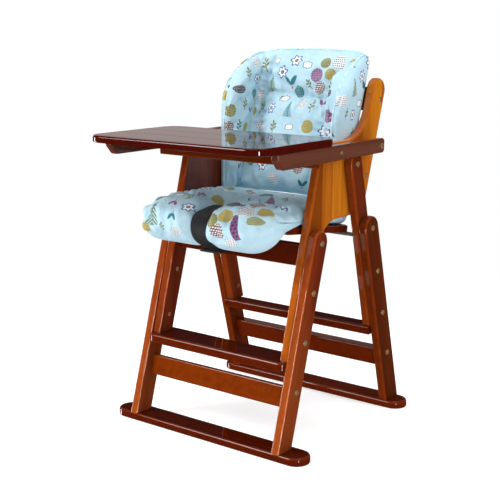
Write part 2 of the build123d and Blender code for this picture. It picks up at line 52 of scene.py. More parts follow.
# ---------------------------------------------------------------- node helpers
class Shader:
    """A material being built: short calls for the nodes that it needs."""

    def __init__(self, name):
        self.material = bpy.data.materials.new(name)
        self.material.use_nodes = True
        self.tree = self.material.node_tree
        self.tree.nodes.clear()
        self.out = self.tree.nodes.new("ShaderNodeOutputMaterial")
        self.bsdf = self.tree.nodes.new("ShaderNodeBsdfPrincipled")
        self.link(self.bsdf.outputs[0], self.out.inputs[0])

    def link(self, source, target):
        self.tree.links.new(source, target)

    def put(self, socket, value):
        if isinstance(value, bpy.types.NodeSocket):
            self.link(value, socket)
        elif isinstance(value, tuple) and len(value) == 3 and socket.type == "RGBA":
            socket.default_value = (*value, 1.0)
        else:
            socket.default_value = value

    def node(self, kind, **inputs):
        made = self.tree.nodes.new("ShaderNode" + kind)
        for key, value in inputs.items():
            self.put(made.inputs[key.replace("_", " ")], value)
        return made

    def surface(self, **inputs):
        """Set or link inputs of the Principled shader."""
        for key, value in inputs.items():
            self.put(self.bsdf.inputs[key.replace("_", " ")], value)

    def math(self, operation, a, b=0.0, c=0.0):
        made = self.tree.nodes.new("ShaderNodeMath")
        made.operation = operation
        for socket, value in zip(made.inputs, (a, b, c)):
            self.put(socket, value)
        return made.outputs[0]

    def plus(self, a, b):
        return self.math("ADD", a, b)

    def minus(self, a, b):
        return self.math("SUBTRACT", a, b)

    def times(self, a, b):
        return self.math("MULTIPLY", a, b)

    def squares(self, a, b):
        return self.plus(self.times(a, a), self.times(b, b))

    def mix(self, factor, a, b, blend="MIX"):
        made = self.tree.nodes.new("ShaderNodeMix")
        made.data_type = "RGBA"
        made.blend_type = blend
        made.clamp_factor = True
        self.put(made.inputs[0], factor)
        self.put(made.inputs[6], a)
        self.put(made.inputs[7], b)
        return made.outputs[2]

    def ramp(self, value, low, high, to_low=0.0, to_high=1.0):
        made = self.tree.nodes.new("ShaderNodeMapRange")
        made.interpolation_type = "SMOOTHSTEP"
        for socket, item in zip(made.inputs, (value, low, high, to_low, to_high)):
            self.put(socket, item)
        return made.outputs[0]

    def noise(self, vector, scale, detail=4.0, roughness=0.55, distortion=0.0):
        made = self.node("TexNoise", Vector=vector, Scale=scale, Detail=detail)
        made.inputs["Roughness"].default_value = roughness
        made.inputs["Distortion"].default_value = distortion
        return made.outputs[0]

    def split(self, vector):
        return self.node("SeparateXYZ", Vector=vector).outputs

    def join(self, x, y, z):
        return self.node("CombineXYZ", X=x, Y=y, Z=z).outputs[0]

    def node_attribute(self, name, output):
        made = self.tree.nodes.new("ShaderNodeAttribute")
        made.attribute_name = name
        return made.outputs[output]

    def bump(self, height, strength, distance):
        made = self.node("Bump", Height=height, Strength=strength, Distance=distance)
        self.link(made.outputs[0], self.bsdf.inputs["Normal"])


# ---------------------------------------------------------------- wood
# noise scales through the board, across its strips and along the grain
FIGURE, FIBRE, PORE = (26.0, 34.0, 1.7), (420.0, 520.0, 9.0), (1100.0, 1300.0, 45.0)
TONE_SHIFT = 7.0        # metres between the figure of the palest strip and of the darkest
GLUE_SHADE, PORE_SHADE = 0.4, 0.35
# how strongly the painted highlight colours the rounded edges
EDGE_HIGHLIGHT_SHARE = 0.75
LOWER_GAIN = (0.050, 0.016, 0.002)     # what is added to the colour towards the foot of a front leg, which grows lighter there


# edge is the painted highlight colour of the rounded edges
def wood(name, dark, mid, light, edge, lean=0.0, across_z=False, strip=0.055, shift=0.0, glue=0.0006,
         paler_below=None, spread=0.34):
    """Glossy varnished laminated wood. The grain runs up a leaning board, or along X if across_z."""
    s = Shader(name)
    where = s.node("TexCoord").outputs["Object"]
    turn = (0.0, math.pi / 2, 0.0) if across_z else (lean, 0.0, 0.0)
    x, y, z = s.split(s.node("Mapping", Vector=where, Rotation=turn).outputs[0])
    # edge-glued strips, each with its own tone and its own figure
    slot = s.math("DIVIDE", s.plus(y, shift), strip)
    index = s.math("FLOOR", slot)
    within = s.math("FRACT", slot)
    tone = s.node("TexWhiteNoise", Vector=s.join(index, 3.7, 1.3)).outputs[0]
    along = s.plus(z, s.times(tone, TONE_SHIFT))

    def streaks(scales, *settings):
        place = s.join(*(s.times(part, scale) for part, scale in zip((x, y, along), scales)))
        return s.noise(place, 1.0, *settings)

    figure = streaks(FIGURE, 5.0, 0.6, 0.5)
    fibre = streaks(FIBRE, 4.0, 0.65)
    pore = streaks(PORE, 2.0, 0.6)
    level = s.plus(s.times(figure, 0.75), s.times(fibre, 0.35))
    level = s.plus(level, s.times(s.minus(tone, 0.5), spread))
    colour = s.mix(s.ramp(level, 0.22, 0.56), dark, mid)
    colour = s.mix(s.ramp(level, 0.54, 0.88), colour, light)
    colour = s.mix(s.ramp(pore, 0.60, 0.72, 0.0, 0.30), colour, tuple(c * PORE_SHADE for c in dark))
    seam = s.math("MINIMUM", within, s.minus(1.0, within))
    line = s.ramp(seam, 0.0, glue / strip, 1.0, 0.0)
    colour = s.mix(s.times(line, 0.5), colour, tuple(c * GLUE_SHADE for c in dark))
    # painted highlight: the rounded edges are painted in the palette's edge colour, in patches
    normal = s.split(s.node("TexCoord").outputs["Normal"])
    face = s.math("ABSOLUTE", normal[2] if across_z else normal[0])
    painted_highlight = s.times(s.ramp(face, 0.995, 0.90), s.ramp(face, 0.02, 0.35, 0.55, 1.0))
    highlight_patches = s.noise(where, 60.0, 3.0)
    painted_highlight = s.times(painted_highlight, s.ramp(highlight_patches, 0.25, 0.75, 0.55, 1.0))
    colour = s.mix(s.times(painted_highlight, EDGE_HIGHLIGHT_SHARE), colour, edge)
    if paler_below:
        height = s.plus(s.split(where)[2], s.times(s.noise(where, 7.0, 2.0), 0.05))
        paler = s.mix(1.0, colour, LOWER_GAIN, "ADD")
        colour = s.mix(s.ramp(height, *paler_below), paler, colour)
    s.surface(
        Base_Color=colour, Roughness=s.ramp(s.noise(where, 35.0, 3.0), 0.3, 0.7, 0.34, 0.46),
        IOR=1.45, Specular_IOR_Level=0.0,
        Coat_Weight=s.minus(1.0, s.times(line, 0.9)), Coat_Roughness=0.035, Coat_IOR=1.5,
    )
    s.bump(s.plus(s.times(fibre, 0.5), s.times(s.noise(where, 9.0, 2.0), 0.6)), 0.10, 0.0012)
    return s.material


# each palette is the dark, middle and light figure, and the painted highlight colour of the rounded edges
PANEL = ((0.20, 0.043, 0.003), (0.37, 0.092, 0.006), (0.54, 0.180, 0.010), (0.50, 0.100, 0.010))
PANEL_LEFT = ((0.080, 0.010, 0.003), (0.140, 0.022, 0.006), (0.21, 0.042, 0.010), (0.38, 0.060, 0.006))
LEG = ((0.085, 0.008, 0.003), (0.17, 0.026, 0.006), (0.26, 0.052, 0.010), (0.42, 0.080, 0.012))
UPPER = ((0.058, 0.006, 0.002), (0.105, 0.015, 0.004), (0.165, 0.032, 0.006), (0.32, 0.050, 0.004))
LEG_REAR = ((0.036, 0.005, 0.001), (0.066, 0.010, 0.002), (0.105, 0.019, 0.003), (0.23, 0.034, 0.003))
DARK = ((0.034, 0.003, 0.001), (0.064, 0.006, 0.001), (0.108, 0.014, 0.001), (0.17, 0.018, 0.002))
RAIL = ((0.065, 0.007, 0.001), (0.120, 0.016, 0.001), (0.185, 0.034, 0.001), (0.25, 0.038, 0.002))
RAIL_DARK = ((0.024, 0.002, 0.001), (0.046, 0.004, 0.001), (0.080, 0.011, 0.001), (0.15, 0.015, 0.001))
# the arms' palette is greyed towards mauve: a painted reflection of the white surroundings in the varnish,
# over the wood's own red
ARM = ((0.070, 0.022, 0.012), (0.120, 0.040, 0.023), (0.170, 0.062, 0.036), (0.120, 0.016, 0.007))
TRAY = ((0.030, 0.002, 0.001), (0.055, 0.004, 0.001), (0.090, 0.009, 0.002), (0.065, 0.002, 0.001))

woods = {
    "panel": wood("wood_side_panel", *PANEL, lean=0.0, strip=0.046, shift=0.006, spread=0.62),
    "panel_left": wood("wood_side_panel_left", *PANEL_LEFT, lean=LEAN_FRONT * 0.2, strip=0.048, shift=0.019),
    "leg_front": wood("wood_front_leg", *LEG, lean=LEAN_FRONT, strip=0.2, paler_below=(0.16, 0.46)),
    "leg_upper": wood("wood_rear_leg_upper", *UPPER, lean=LEAN_REAR, strip=0.2, shift=0.03),
    "leg_rear": wood("wood_rear_leg_lower", *LEG_REAR, lean=LEAN_REAR, strip=0.2, shift=0.07),
    "arm": wood("wood_arm", *ARM, lean=math.pi / 2, strip=0.2, shift=0.02),
    "tray": wood("wood_tray", *TRAY, across_z=True, strip=0.094, shift=0.03, glue=0.0020),
    "dark": wood("wood_foot", *DARK, across_z=True, strip=0.2, shift=0.09),
    "rail": wood("wood_rail", *RAIL, across_z=True, strip=0.2, shift=0.05),
    "rail_dark": wood("wood_rail_dark", *RAIL_DARK, across_z=True, strip=0.2, shift=0.13),
    "slat": wood("wood_slat", *RAIL, lean=LEAN_POST, strip=0.2),
}


# ---------------------------------------------------------------- hardware, webbing and plastic
def metal(name, colour, roughness, brushed):
    """Plated metal with fine turning marks and a little tarnish."""
    s = Shader(name)
    where = s.node("TexCoord").outputs["Object"]
    tarnish = s.noise(where, 260.0, 4.0, 0.7)
    marks = s.noise(s.node("Mapping", Vector=where, Scale=brushed).outputs[0], 1.0, 2.0)
    shade = s.mix(s.ramp(tarnish, 0.35, 0.75), colour, tuple(c * 0.55 for c in colour))
    uneven = s.ramp(marks, 0.2, 0.8, roughness * 0.75, roughness * 1.3)
    s.surface(Base_Color=shade, Roughness=uneven, Metallic=0.8)
    s.bump(marks, 0.12, 0.0004)
    return s.material


def plastic(name, colour, roughness):
    """Moulded plastic with a fine spark-eroded grain."""
    s = Shader(name)
    where = s.node("TexCoord").outputs["Object"]
    grain = s.noise(where, 1800.0, 2.0)
    patch = s.noise(where, 90.0, 3.0)
    shade = s.mix(s.ramp(patch, 0.3, 0.7), colour, tuple(c * 1.6 for c in colour))
    s.surface(Base_Color=shade, Roughness=s.ramp(patch, 0.3, 0.7, roughness, roughness + 0.12))
    s.bump(grain, 0.25, 0.0003)
    return s.material


brass = metal("brass_bolt", (0.86, 0.55, 0.28), 0.38, (900.0, 900.0, 900.0))
zinc = metal("zinc_rod", (0.44, 0.43, 0.35), 0.42, (40.0, 1500.0, 1500.0))
nylon = plastic("nylon_spacer", (0.16, 0.10, 0.07), 0.45)
black_plastic = plastic("buckle_plastic", (0.012, 0.012, 0.013), 0.38)

FINISHES = (
    (woods["panel_left"], "side_panel_left"),
    (woods["panel"], "side_panel_right"),
    (woods["leg_front"], "front_leg_left front_leg_right"),
    (woods["leg_upper"], "rear_leg_upper_left rear_leg_upper_right"),
    (woods["leg_rear"], "rear_leg_lower_left rear_leg_lower_right"),
    (woods["arm"], "tray_arm_left tray_arm_right"),
    (woods["tray"], "tray_board"),
    (woods["rail"], "tray_crossbar front_crossbar back_rail_upper back_rail_lower"),
    (woods["dark"], "front_foot rear_foot footrest_board seat_board"),
    (woods["rail_dark"], "rear_stretcher rear_crossbar seat_front_rail"),
    (woods["slat"], "back_slat_left back_slat_middle back_slat_right"),
    (zinc, "seat_support_rod seat_pivot_pins tray_screws front_foot_screws rear_foot_screws"),
    (nylon, "rear_pivot_washers tray_pivot_spacers tray_guide_pads"),
    (black_plastic, "strap_buckle"),
)
NODE_FINISH = {name: finish for finish, names in FINISHES for name in names.split()}
# the bolts, nuts and screws that aren't listed are brass
for node_name, node in NODES.items():
    node.data.materials.clear()
    node.data.materials.append(NODE_FINISH.get(node_name, brass))


# ---------------------------------------------------------------- camera, floor and light
AIM = Vector((0.0, -0.0092, 0.4484))
AZIMUTH = math.radians(36.154)
ELEVATION = math.radians(12.153)
DISTANCE = 2.6
ROLL = math.radians(0.305)
SENSOR, LENS = 36.0, 73.35

towards = Vector((
    math.sin(AZIMUTH) * math.cos(ELEVATION),
    -math.cos(AZIMUTH) * math.cos(ELEVATION),
    math.sin(ELEVATION),
))
camera = bpy.data.objects.new("camera", bpy.data.cameras.new("camera"))
bpy.context.collection.objects.link(camera)
turn = towards.to_track_quat("Z", "Y").to_matrix().to_4x4() @ Matrix.Rotation(ROLL, 4, "Z")
camera.matrix_world = Matrix.Translation(AIM + towards * DISTANCE) @ turn
camera.data.sensor_width = SENSOR
camera.data.lens = LENS
camera.data.clip_end = 50.0
bpy.context.scene.camera = camera


def area_light(name, place, target, size, size_y, power, colour=(1.0, 1.0, 1.0)):
    light = bpy.data.lights.new(name, "AREA")
    light.shape = "RECTANGLE"
    light.size = size
    light.size_y = size_y
    light.energy = power
    light.color = colour
    made = bpy.data.objects.new(name, light)
    bpy.context.collection.objects.link(made)
    aim = Vector(target) - Vector(place)
    made.matrix_world = Matrix.Translation(Vector(place)) @ aim.to_track_quat("-Z", "Y").to_matrix().to_4x4()
    return made


area_light("key", (-1.9, -2.6, 2.6), (0, 0, 0.5), 1.6, 1.6, 84)
# low strips: upright rounded edges mirror them, level tops do not
strip = area_light("side_strip", (2.7, -1.75, -0.1), (0, 0, -0.1), 0.20, 1.9, 55)
strip.visible_diffuse = False
left_strip = area_light("left_strip", (-2.6, -0.6, -0.1), (0, 0, -0.1), 0.20, 1.9, 36)
left_strip.visible_diffuse = False
area_light("top", (0.2, 0.2, 3.0), (0, 0, 0.4), 2.2, 2.2, 12)
fill = area_light("right_fill", (3.2, 0.9, 1.7), (0, 0, 0.5), 1.2, 1.2, 20)
fill.visible_glossy = False
# a card close behind the chair: only the tray's top is high enough to mirror it
card = area_light("tray_card", (-0.80, 0.92, 1.12), (0, -0.17, 1.12), 2.8, 0.60, 2.6, (1.0, 0.88, 0.86))
card.visible_camera = False
card.visible_diffuse = False

# the floor fades out between these distances from the middle
FLOOR_CLEAR, FLOOR_GONE = 0.75, 1.9
floor_mesh = bpy.data.meshes.new("floor")
floor_mesh.from_pydata([(-3, -3, 0), (3, -3, 0), (3, 3, 0), (-3, 3, 0)], [], [(0, 1, 2, 3)])
floor = bpy.data.objects.new("floor", floor_mesh)
bpy.context.collection.objects.link(floor)
floor_shader = Shader("floor_paper")
floor_place = floor_shader.split(floor_shader.node("TexCoord").outputs["Object"])
floor_reach = floor_shader.math("SQRT", floor_shader.squares(floor_place[0], floor_place[1]))
floor_shader.surface(
    Base_Color=(0.93, 0.93, 0.93), Roughness=0.9, Specular_IOR_Level=0.0,
    Emission_Color=(1.0, 1.0, 1.0), Emission_Strength=0.30,
    Alpha=floor_shader.ramp(floor_reach, FLOOR_CLEAR, FLOOR_GONE, 1.0, 0.0),
)
floor_mesh.materials.append(floor_shader.material)
floor.visible_glossy = False


WORLD_DIFFUSE, WORLD_GLOSSY = 0.98, 0.02


def studio_world():
    """White backdrop: full strength to the camera, a little less as light, and dim in the varnish."""
    world = bpy.data.worlds.new("studio")
    world.use_nodes = True
    tree = world.node_tree
    back = tree.nodes["Background"]
    back.inputs[0].default_value = (1.0, 1.0, 1.0, 1.0)
    path = tree.nodes.new("ShaderNodeLightPath")
    for_light = tree.nodes.new("ShaderNodeMapRange")
    for_light.inputs[3].default_value = WORLD_DIFFUSE
    for_light.inputs[4].default_value = WORLD_GLOSSY
    tree.links.new(path.outputs["Is Glossy Ray"], for_light.inputs[0])
    strength = tree.nodes.new("ShaderNodeMix")
    tree.links.new(path.outputs["Is Camera Ray"], strength.inputs[0])
    tree.links.new(for_light.outputs[0], strength.inputs[2])
    strength.inputs[3].default_value = 1.0
    tree.links.new(strength.outputs[0], back.inputs[1])
    return world


bpy.context.scene.world = studio_world()
bpy.context.scene.view_settings.view_transform = "Standard"


# ---------------------------------------------------------------- printed liner fabric
PRINT_KINDS = ("disc", "dotted", "lattice", "flower", "cloud", "sprig", "tree", "oval", "leaves", "stalk")
TEAL, MAUVE, PINK = (0.006, 0.20, 0.23), (0.25, 0.080, 0.24), (0.62, 0.18, 0.26)
OLIVE, MUSTARD, GREEN = (0.21, 0.22, 0.012), (0.42, 0.32, 0.012), (0.10, 0.18, 0.020)
NAVY, BRICK, BLUE = (0.008, 0.010, 0.025), (0.17, 0.028, 0.024), (0.020, 0.055, 0.33)
WHITE, CLOTH, CLOTH_PALE = (0.90, 0.93, 0.95), (0.47, 0.71, 0.84), (0.53, 0.77, 0.88)
CLOTH_GAP = (0.03, 0.08, 0.12)
THREADS = 7500.0        # the weave's frequency, in radians for each metre


def printed_fabric(name):
    """Pale blue polyester with a light sheen, a fine weave and simple printed shapes.

    The corner attribute "motif" holds the place inside the nearest shape and which shape it is.
    """
    s = Shader(name)
    u, w, kind = s.split(s.node_attribute("motif", "Vector"))
    tint = s.node_attribute("tint", "Color")
    radius = s.math("SQRT", s.squares(u, w))
    angle = s.math("ARCTAN2", w, u)
    side = s.math("ABSOLUTE", u)

    def less(a, b):
        return s.math("LESS_THAN", a, b)

    def dots(count, size, skew=0.0):
        du = s.minus(s.math("FRACT", s.times(s.plus(u, s.times(w, skew)), count)), 0.5)
        dw = s.minus(s.math("FRACT", s.times(w, count)), 0.5)
        return less(s.squares(du, dw), size)

    def ellipse(cu, cw, ru, rw, turn=0.0):
        du = s.minus(u, cu)
        dw = s.minus(w, cw)
        c, n = math.cos(turn), math.sin(turn)
        along = s.plus(s.times(du, c / ru), s.times(dw, n / ru))
        across = s.plus(s.times(du, -n / rw), s.times(dw, c / rw))
        return less(s.squares(along, across), 1.0)

    def union(*masks):
        joined = masks[0]
        for mask in masks[1:]:
            joined = s.math("MAXIMUM", joined, mask)
        return joined

    disc = less(radius, 1.0)
    oval = ellipse(0, 0, 1.0, 0.6)
    petal = s.plus(0.76, s.times(s.math("COSINE", s.times(angle, 6.0)), 0.17))
    petal_line = less(s.math("ABSOLUTE", s.minus(radius, petal)), 0.10)
    puff = s.plus(0.60, s.times(s.math("ABSOLUTE", s.math("SINE", s.times(angle, 3.0))), 0.26))
    low_radius = s.math("SQRT", s.plus(s.times(u, u), s.times(s.times(w, w), 2.6)))
    puff_line = less(s.math("ABSOLUTE", s.minus(low_radius, puff)), 0.055)
    height = s.math("ABSOLUTE", w)
    stem = s.times(less(side, 0.055), less(height, 1.0))
    sprig_leaves = union(*[ellipse(x, y, 0.30, 0.14, turn) for x, y, turn in (
        (0.30, 0.55, 0.7), (-0.30, 0.35, 2.44), (0.30, 0.02, 0.7), (-0.30, -0.20, 2.44), (0.0, 0.86, 1.57))])
    cone = s.times(less(side, s.times(s.minus(1.0, w), 0.34)), less(height, 0.98))
    hatch = less(s.math("FRACT", s.times(s.plus(w, side), 3.6)), 0.5)
    pair = union(ellipse(0.38, 0.1, 0.58, 0.26, 0.9), ellipse(-0.38, 0.1, 0.58, 0.26, 2.2))
    strip = s.times(less(side, 0.26), less(height, 1.0))
    layers = (
        ("disc", disc, tint),
        ("disc", s.times(disc, dots(4.0, 0.035)), WHITE),
        ("dotted", disc, WHITE),
        ("dotted", s.times(disc, dots(3.4, 0.085, 0.5)), tint),
        ("lattice", disc, tint),
        ("lattice", s.times(disc, dots(3.1, 0.11, 0.5)), WHITE),
        ("flower", less(radius, petal), WHITE),
        ("flower", union(petal_line, less(radius, 0.30)), tint),
        ("flower", less(radius, 0.17), MUSTARD),
        ("cloud", less(low_radius, puff), WHITE),
        ("cloud", puff_line, tint),
        ("sprig", union(stem, sprig_leaves), tint),
        ("tree", union(stem, s.times(cone, hatch)), tint),
        ("oval", oval, tint),
        ("oval", s.times(oval, dots(4.6, 0.05, 0.5)), WHITE),
        ("leaves", pair, tint),
        ("leaves", ellipse(0, -0.62, 0.16, 0.16), PINK),
        ("stalk", strip, tint),
        ("stalk", s.times(strip, dots(3.6, 0.07, 0.5)), NAVY),
    )
    where = s.node("TexCoord").outputs["Object"]
    x, y, z = s.split(where)
    cloudy = s.noise(where, 14.0, 3.0)
    colour = s.mix(s.ramp(cloudy, 0.3, 0.7), CLOTH, CLOTH_PALE)
    for wanted, mask, paint in layers:
        here = s.math("COMPARE", kind, float(PRINT_KINDS.index(wanted) + 1), 0.4)
        colour = s.mix(s.times(mask, here), colour, paint)
    warp = s.math("SINE", s.times(s.plus(x, s.times(y, 0.6)), THREADS))
    weft = s.math("SINE", s.times(s.plus(z, s.times(y, 0.4)), THREADS))
    weave = s.times(warp, weft)
    crease = s.noise(where, 38.0, 4.0, 0.6, 1.2)
    off_fold = s.math("ABSOLUTE", s.minus(s.noise(where, 13.0, 2.0, 0.5, 1.4), 0.5))
    fold = s.ramp(off_fold, 0.0, 0.055)
    s.surface(
        Base_Color=s.mix(s.ramp(weave, -1.0, 1.0, 0.0, 0.07), colour, CLOTH_GAP),
        Roughness=s.ramp(crease, 0.3, 0.7, 0.42, 0.58),
        Specular_IOR_Level=0.45, Sheen_Weight=0.12, Sheen_Roughness=0.4,
    )
    s.bump(s.plus(s.plus(s.times(weave, 0.05), crease), s.times(fold, 0.28)), 0.6, 0.005)
    return s.material


MM = 0.001
STRAP_X, STRAP_HALF = -14.0, 25.0       # middle and half width of the crotch strap
RIBS, PICKS = 2600.0, 2900.0


def webbing(name):
    """Ribbed black polypropylene webbing, with a darker line inside each edge."""
    s = Shader(name)
    where = s.node("TexCoord").outputs["Object"]
    x, y, z = s.split(where)
    weave = s.times(s.math("SINE", s.times(x, RIBS)), s.math("SINE", s.times(s.plus(y, z), PICKS)))
    edge = s.math("ABSOLUTE", s.minus(x, STRAP_X * MM))
    band = s.times(s.ramp(edge, 0.0195, 0.0205), s.ramp(edge, 0.0225, 0.0215))
    shade = s.mix(s.ramp(weave, -1.0, 1.0), (0.004, 0.004, 0.005), (0.018, 0.018, 0.021))
    shade = s.mix(s.times(band, 0.5), shade, (0.006, 0.006, 0.007))
    uneven = s.ramp(s.noise(where, 120.0), 0.3, 0.7, 0.48, 0.62)
    s.surface(Base_Color=shade, Roughness=uneven, Sheen_Weight=0.04)
    s.bump(weave, 0.7, 0.0006)
    return s.material


# ---------------------------------------------------------------- soft pieces, in millimetres
INNER = NODES_BOX["side_panel_right"][0][0] / MM       # inner face of a side panel
SIDE = INNER - 1.5                                     # half width of both pads
PANEL_GAP = 0.6                                        # between a pad and the panel it meets
INFLATE_FRAMES = 20


def smooth_step(value, low, high):
    t = np.clip((value - low) / (high - low), 0.0, 1.0)
    return t * t * (3 - 2 * t)


def round_edge(distance, reach):
    """Thickness factor of a pad at a distance from its sewn edge."""
    t = np.clip(1 - distance / reach, 0.0, 1.0)
    return np.sqrt(np.clip(1 - t * t, 0.0, 1.0))


def inflate(piece, pinned, pressure, cap):
    """Blow the pad up as cloth, then keep each point within cap metres of where it started."""
    group = piece.vertex_groups.new(name="sewn")
    group.add([int(i) for i in pinned], 1.0, "REPLACE")
    cloth = piece.modifiers.new("cloth", "CLOTH")
    cloth.settings.quality = 6
    cloth.settings.mass = 0.25
    cloth.settings.tension_stiffness = 9.0
    cloth.settings.compression_stiffness = 9.0
    cloth.settings.shear_stiffness = 4.0
    cloth.settings.bending_stiffness = 0.4
    cloth.settings.use_pressure = True
    cloth.settings.uniform_pressure_force = pressure
    cloth.settings.shrink_min = -0.035
    cloth.settings.vertex_group_mass = "sewn"
    cloth.settings.effector_weights.gravity = 0.0
    cloth.collision_settings.use_collision = False
    cloth.point_cache.frame_start = 1
    cloth.point_cache.frame_end = INFLATE_FRAMES
    scene = bpy.context.scene
    for step in range(1, INFLATE_FRAMES + 1):
        scene.frame_set(step)
    view = bpy.context.evaluated_depsgraph_get()
    blown = piece.evaluated_get(view).to_mesh()
    start = np.array([v.co for v in piece.data.vertices])
    moved = np.array([v.co for v in blown.vertices]) - start
    piece.evaluated_get(view).to_mesh_clear()
    piece.modifiers.remove(cloth)
    piece.vertex_groups.remove(group)
    scene.frame_set(1)
    length = np.linalg.norm(moved, axis=1, keepdims=True)
    moved *= np.minimum(1.0, cap / np.maximum(length, 1e-9))
    piece.data.vertices.foreach_set("co", (start + moved).ravel())
    piece.data.update()


def make_piece(name, points, faces, sheet, material):
    """Mesh object whose point attribute "sheet" says where each point lies on the flat cloth.

    Its third value is 1 on the face that shows, and lower at the border and behind.
    """
    mesh = bpy.data.meshes.new(name)
    mesh.from_pydata([tuple(p * MM for p in point) for point in points], [], faces)
    where = mesh.attributes.new("sheet", "FLOAT_VECTOR", "POINT")
    where.data.foreach_set("vector", np.asarray(sheet, float).ravel())
    mesh.materials.append(material)
    piece = bpy.data.objects.new(name, mesh)
    bpy.context.collection.objects.link(piece)
    fix = bmesh.new()
    fix.from_mesh(mesh)
    bmesh.ops.recalc_face_normals(fix, faces=fix.faces)
    fix.to_mesh(mesh)
    fix.free()
    return piece


def subdivide(piece):
    """One applied subdivision, with smooth shading."""
    piece.modifiers.new("round", "SUBSURF").levels = 1
    view = bpy.context.evaluated_depsgraph_get()
    finer = bpy.data.meshes.new_from_object(piece.evaluated_get(view))
    piece.modifiers.clear()
    piece.data = finer
    finer.polygons.foreach_set("use_smooth", [True] * len(finer.polygons))


def sheet_of(mesh):
    values = np.empty(len(mesh.vertices) * 3)
    mesh.attributes["sheet"].data.foreach_get("vector", values)
    return values.reshape(-1, 3)


def push(piece, amount):
    """Move each point along its normal by amount millimetres."""
    mesh = piece.data
    count = len(mesh.vertices)
    co, normal = np.empty(count * 3), np.empty(count * 3)
    mesh.vertices.foreach_get("co", co)
    mesh.vertex_normals.foreach_get("vector", normal)
    mesh.vertices.foreach_set("co", co + normal * np.repeat(amount, 3) * MM)
    mesh.update()


def keep_between_panels(piece, below):
    """Press the pad flat where it meets the side panels, below a height in millimetres."""
    mesh = piece.data
    co = np.empty(len(mesh.vertices) * 3)
    mesh.vertices.foreach_get("co", co)
    co = co.reshape(-1, 3)
    limit = (INNER - PANEL_GAP) * MM
    low = co[:, 2] < below * MM
    co[low, 0] = np.clip(co[low, 0], -limit, limit)
    mesh.vertices.foreach_set("co", co.ravel())
    mesh.update()


def print_motifs(piece, motifs, scale, fold=0.0):
    """Give each face the motif that is nearest for its size, in the flat cloth's own millimetres.

    The cloth of a wing goes on round its front edge, which lies fold millimetres from the middle.
    """
    mesh = piece.data
    sheet = sheet_of(mesh)
    centres = np.array([motif[:2] for motif in motifs])
    sizes = np.array([motif[2] for motif in motifs])
    places = np.zeros((len(mesh.loops), 3))
    tints = np.ones((len(mesh.loops), 4))
    for face in mesh.polygons:
        corner = sheet[list(face.vertices)]
        if fold and corner[:, 2].mean() < 0.5:
            corner[:, 0] = math.copysign(2 * fold, corner[:, 0].mean()) - corner[:, 0]
        gap = np.hypot(*(centres - corner[:, :2].mean(axis=0)).T) / sizes
        x, y, size, turn, kind, colour = motifs[int(gap.argmin())]
        c, n = math.cos(math.radians(turn)), math.sin(math.radians(turn))
        local = (corner[:, :2] - (x, y)) / (size * scale)
        span = slice(face.loop_start, face.loop_start + face.loop_total)
        places[span, 0] = c * local[:, 0] + n * local[:, 1]
        places[span, 1] = -n * local[:, 0] + c * local[:, 1]
        places[span, 2] = PRINT_KINDS.index(kind) + 1
        tints[span, :3] = colour
    mesh.attributes.new("motif", "FLOAT_VECTOR", "CORNER").data.foreach_set("vector", places.ravel())
    mesh.attributes.new("tint", "FLOAT_COLOR", "CORNER").data.foreach_set("color", tints.ravel())


def line_distance(x, y, points):
    """Distance from each (x, y) to a polyline, and how far along the line the nearest point is."""
    best = np.full(np.shape(x), 1e9)
    along = np.zeros(np.shape(x))
    run = 0.0
    for (x0, y0), (x1, y1) in zip(points, points[1:]):
        length = math.hypot(x1 - x0, y1 - y0)
        t = np.clip(((x - x0) * (x1 - x0) + (y - y0) * (y1 - y0)) / length ** 2, 0, 1)
        gap = np.hypot(x - x0 - t * (x1 - x0), y - y0 - t * (y1 - y0))
        nearer = gap < best
        best = np.where(nearer, gap, best)
        along = np.where(nearer, run + t * length, along)
        run += length
    return best, along


def puckers(x, y, seams, reach, depth):
    """Small gathers that run out from each seam."""
    total = np.zeros(x.shape)
    for number, seam in enumerate(seams):
        gap, along = line_distance(x, y, seam)
        wave = np.sin(along / 3.1 + 1.9 * np.sin(along / 13.0 + number) + 0.05 * gap)
        wave += 0.6 * np.sin(along / 5.3 + 2.1 * number)
        total += depth * wave * np.exp(-gap / reach) * (1 - np.exp(-(gap / 4.0) ** 2))
    return total


def ripples(x, y, depth, seed):
    """Long soft wrinkles in the cloth, the same each time."""
    random = np.random.default_rng(seed)
    total = np.zeros(x.shape)
    for _ in range(9):
        heading, length, phase = random.uniform(0, math.pi), random.uniform(26, 75), random.uniform(0, 6.3)
        across = x * math.cos(heading) + y * math.sin(heading)
        down = -x * math.sin(heading) + y * math.cos(heading)
        wave = np.sin(across * 2 * math.pi / length + phase + 0.8 * np.sin(down / 37 + phase))
        total += wave * smooth_step(np.sin(down / 46 + 2 * phase), -0.2, 0.9)
    return depth * total / 3


# ---- back pad with wings
PAD_HALF = 21.0                 # half the pad's thickness
PAD_LOW = 574.0                 # height of its lower edge
BACK_Y, BACK_Z = 252.0, 825.4   # a place on the plane that its back lies on
BACK_LEAN = 0.3146
BACK_FLAT = 138.0               # half width of the flat part
CORNER = 28.0                   # how far the pad comes forward as it turns into a wing
WING_X = SIDE - PAD_HALF + 1.5
WING_FRONT = 99.0
CORNER_CLOTH, WING_CLOTH = 42.0, 130.0
FOLD = BACK_FLAT + CORNER_CLOTH + WING_CLOTH    # from the middle to a wing's front edge, on the cloth
PRINT_REPEAT = 480              # width of the print
WING_TOP = ((0, 938), (0.18, 924), (0.35, 909), (0.5, 893), (0.65, 872), (0.8, 843), (0.9, 812), (1.0, 762))
TOP_FLAT, TOP_FLAT_SAG, TOP_CORNER, TOP_CORNER_SAG = 951.0, 4.0, 947.0, 9.0
BACK_ROWS = 50
BACK_ROLL = 0.6                 # how round the flat part's edge is behind: the wings' edges are fully round
SEAM_SINK = 12.0
WING_PUFF, WING_PUFF_OUTSIDE = 11.0, 6.0
